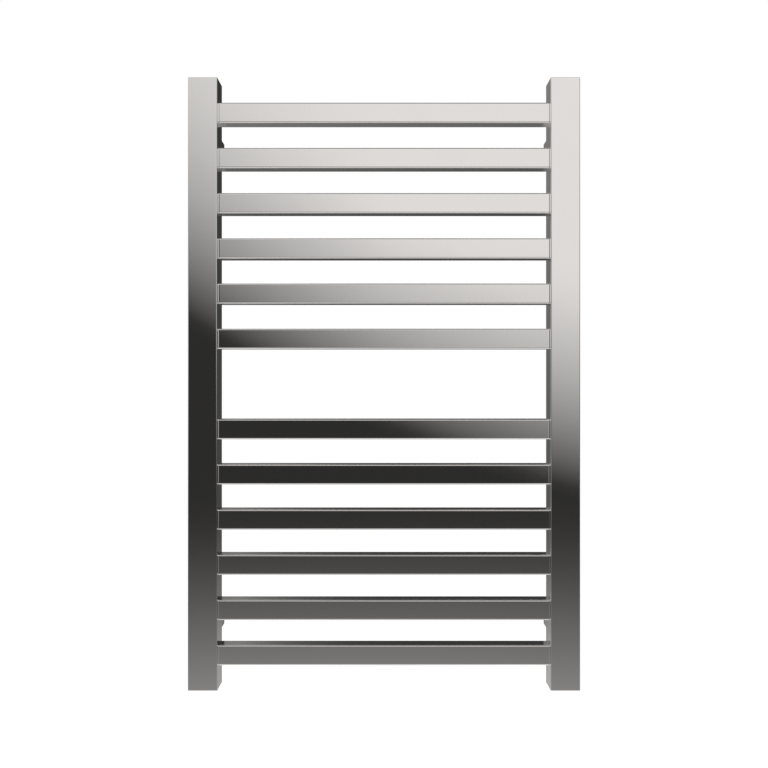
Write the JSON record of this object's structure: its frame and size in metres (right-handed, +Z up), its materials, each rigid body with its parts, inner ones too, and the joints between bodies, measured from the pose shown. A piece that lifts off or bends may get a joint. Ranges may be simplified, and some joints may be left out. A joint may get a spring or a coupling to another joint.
{
  "type": "towel warmer rack",
  "caption": "Wall-hung electric towel warmer: a mirror-polished ladder of square bars in two groups between square posts, held off the wall on square standoffs.",
  "frame": {"origin": "on the wall plane, at the centre of the four wall screws", "axes": "+Z up along the posts, +X to the right as seen from the room, +Y into the wall, so the front faces -Y"},
  "size_m": [0.6028, 0.112, 0.938],
  "materials": {
    "polished_steel": "mirror polished stainless steel",
    "bracket_steel": "plain machined steel",
    "screw_steel": "plain turned steel",
    "brass": "plain",
    "tinned_can": "satin",
    "heater_silicone": "matte silicone",
    "shrink_sleeve": "satin heat-shrink",
    "seal_resin": "matte",
    "block_plastic": "matte moulded",
    "gland_plastic": "matte moulded",
    "switch_plastic": "fine matte moulded",
    "rocker_plastic": "gloss moulded",
    "lens_amber": "clear amber",
    "lead_brown": "satin insulation",
    "lead_blue": "satin insulation",
    "lead_green": "satin insulation"
  },
  "bodies": {
    "rack": {"left_post": "polished_steel", "right_post": "polished_steel", "bar_01": "polished_steel", "bar_02": "polished_steel", "bar_03": "polished_steel", "bar_04": "polished_steel", "bar_05": "polished_steel", "bar_06": "polished_steel", "bar_07": "polished_steel", "bar_08": "polished_steel", "bar_09": "polished_steel", "bar_10": "polished_steel", "bar_11": "polished_steel", "bar_12": "polished_steel", "cap_top_left": "polished_steel", "cap_top_right": "polished_steel", "cap_bottom_left": "polished_steel", "cap_bottom_right": "polished_steel", "standoff_top_left": "polished_steel", "standoff_top_right": "polished_steel", "standoff_bottom_left": "polished_steel", "standoff_bottom_right": "polished_steel", "wall_bracket_top_left": "bracket_steel", "wall_bracket_top_right": "bracket_steel", "wall_bracket_bottom_left": "bracket_steel", "wall_bracket_bottom_right": "bracket_steel", "set_screws": "screw_steel", "heating_cable": "heater_silicone", "cable_splices": "shrink_sleeve", "thermal_cutout": "tinned_can", "cutout_end_seals": "seal_resin", "terminal_block": "block_plastic", "terminal_screws": "brass", "earth_stud": "screw_steel", "earth_ring": "brass", "earth_nut": "screw_steel", "gland_body": "gland_plastic", "gland_locknut": "gland_plastic", "switch_housing": "switch_plastic", "switch_blades": "brass", "lead_live": "lead_brown", "lead_switched": "lead_brown", "lead_heater_live": "lead_brown", "lead_neutral": "lead_blue", "lead_earth": "lead_green"},
    "rocker": {"switch_rocker": "rocker_plastic", "switch_lens": "lens_amber"}
  },
  "joints": [
    {"name": "switch_pivot", "type": "hinge", "parent": "rack", "child": "rocker", "pos_m": [0.298, -0.0895, -0.44], "axis": [0, -1, 0], "range_deg": [0, 16]}
  ]
}
